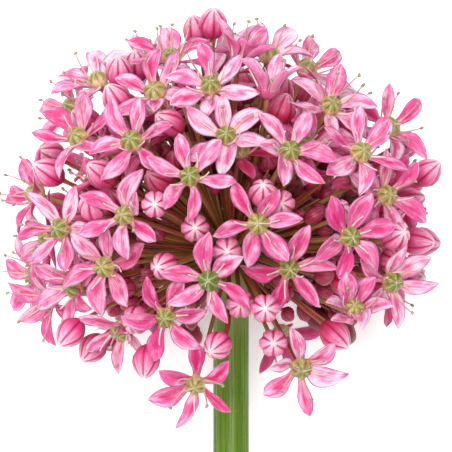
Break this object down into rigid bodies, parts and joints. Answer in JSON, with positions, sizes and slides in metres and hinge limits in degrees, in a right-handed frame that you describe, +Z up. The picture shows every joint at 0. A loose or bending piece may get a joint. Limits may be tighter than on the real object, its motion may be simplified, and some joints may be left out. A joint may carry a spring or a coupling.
{
  "type": "allium flower head",
  "caption": "Round umbel of pink star-shaped florets and buds on thin pedicels, on a thick straight cut green stalk, lying on its side.",
  "frame": {"origin": "middle of the bounding box in X and Y, on the surface that the flower lies on", "axes": "+Z up; +Y from the stalk's cut end towards the crown of the umbel; +X to the right as seen with the stalk pointing at the viewer"},
  "size_m": [0.103, 0.2008, 0.0948],
  "materials": {
    "tepals": "soft petals, pale pink with magenta veins and a creamy base",
    "stalk": "waxy green skin with fine lengthwise streaks",
    "pedicels": "thin olive-brown stems, darker towards the middle",
    "ovaries": "olive-green furrowed seed pods with cream ribs",
    "stamens": "pale pink threads with small grey-mauve tips",
    "buds": "closed ribbed buds, pink striped with magenta"
  },
  "bodies": {
    "root": {"scape": "stalk", "spray_01": "tepals", "spray_02": "tepals", "spray_03": "tepals", "spray_04": "tepals", "spray_05": "tepals", "spray_06": "tepals", "spray_07": "tepals", "spray_08": "tepals", "spray_09": "tepals", "spray_10": "tepals", "spray_11": "tepals", "spray_12": "tepals", "spray_13": "tepals", "spray_14": "tepals", "spray_15": "tepals", "spray_16": "tepals", "spray_17": "tepals", "spray_18": "tepals", "spray_19": "tepals", "spray_20": "tepals", "spray_21": "tepals", "spray_22": "tepals", "spray_23": "tepals", "spray_24": "tepals", "spray_25": "tepals", "spray_26": "tepals", "spray_27": "tepals", "spray_28": "tepals", "spray_29": "tepals", "spray_30": "tepals", "spray_31": "tepals", "spray_32": "tepals", "spray_33": "tepals", "spray_34": "tepals", "spray_35": "tepals", "spray_36": "tepals", "spray_37": "tepals", "spray_38": "tepals", "spray_39": "tepals", "spray_40": "tepals", "spray_41": "tepals", "spray_42": "tepals", "spray_43": "tepals", "spray_44": "tepals", "spray_45": "tepals", "spray_46": "tepals", "spray_47": "tepals", "spray_48": "tepals", "spray_49": "tepals", "spray_50": "tepals", "spray_51": "tepals", "spray_52": "tepals", "spray_53": "tepals", "spray_54": "tepals", "spray_55": "tepals", "spray_56": "tepals", "spray_57": "tepals", "spray_58": "tepals", "spray_59": "tepals"}
  },
  "joints": []
}
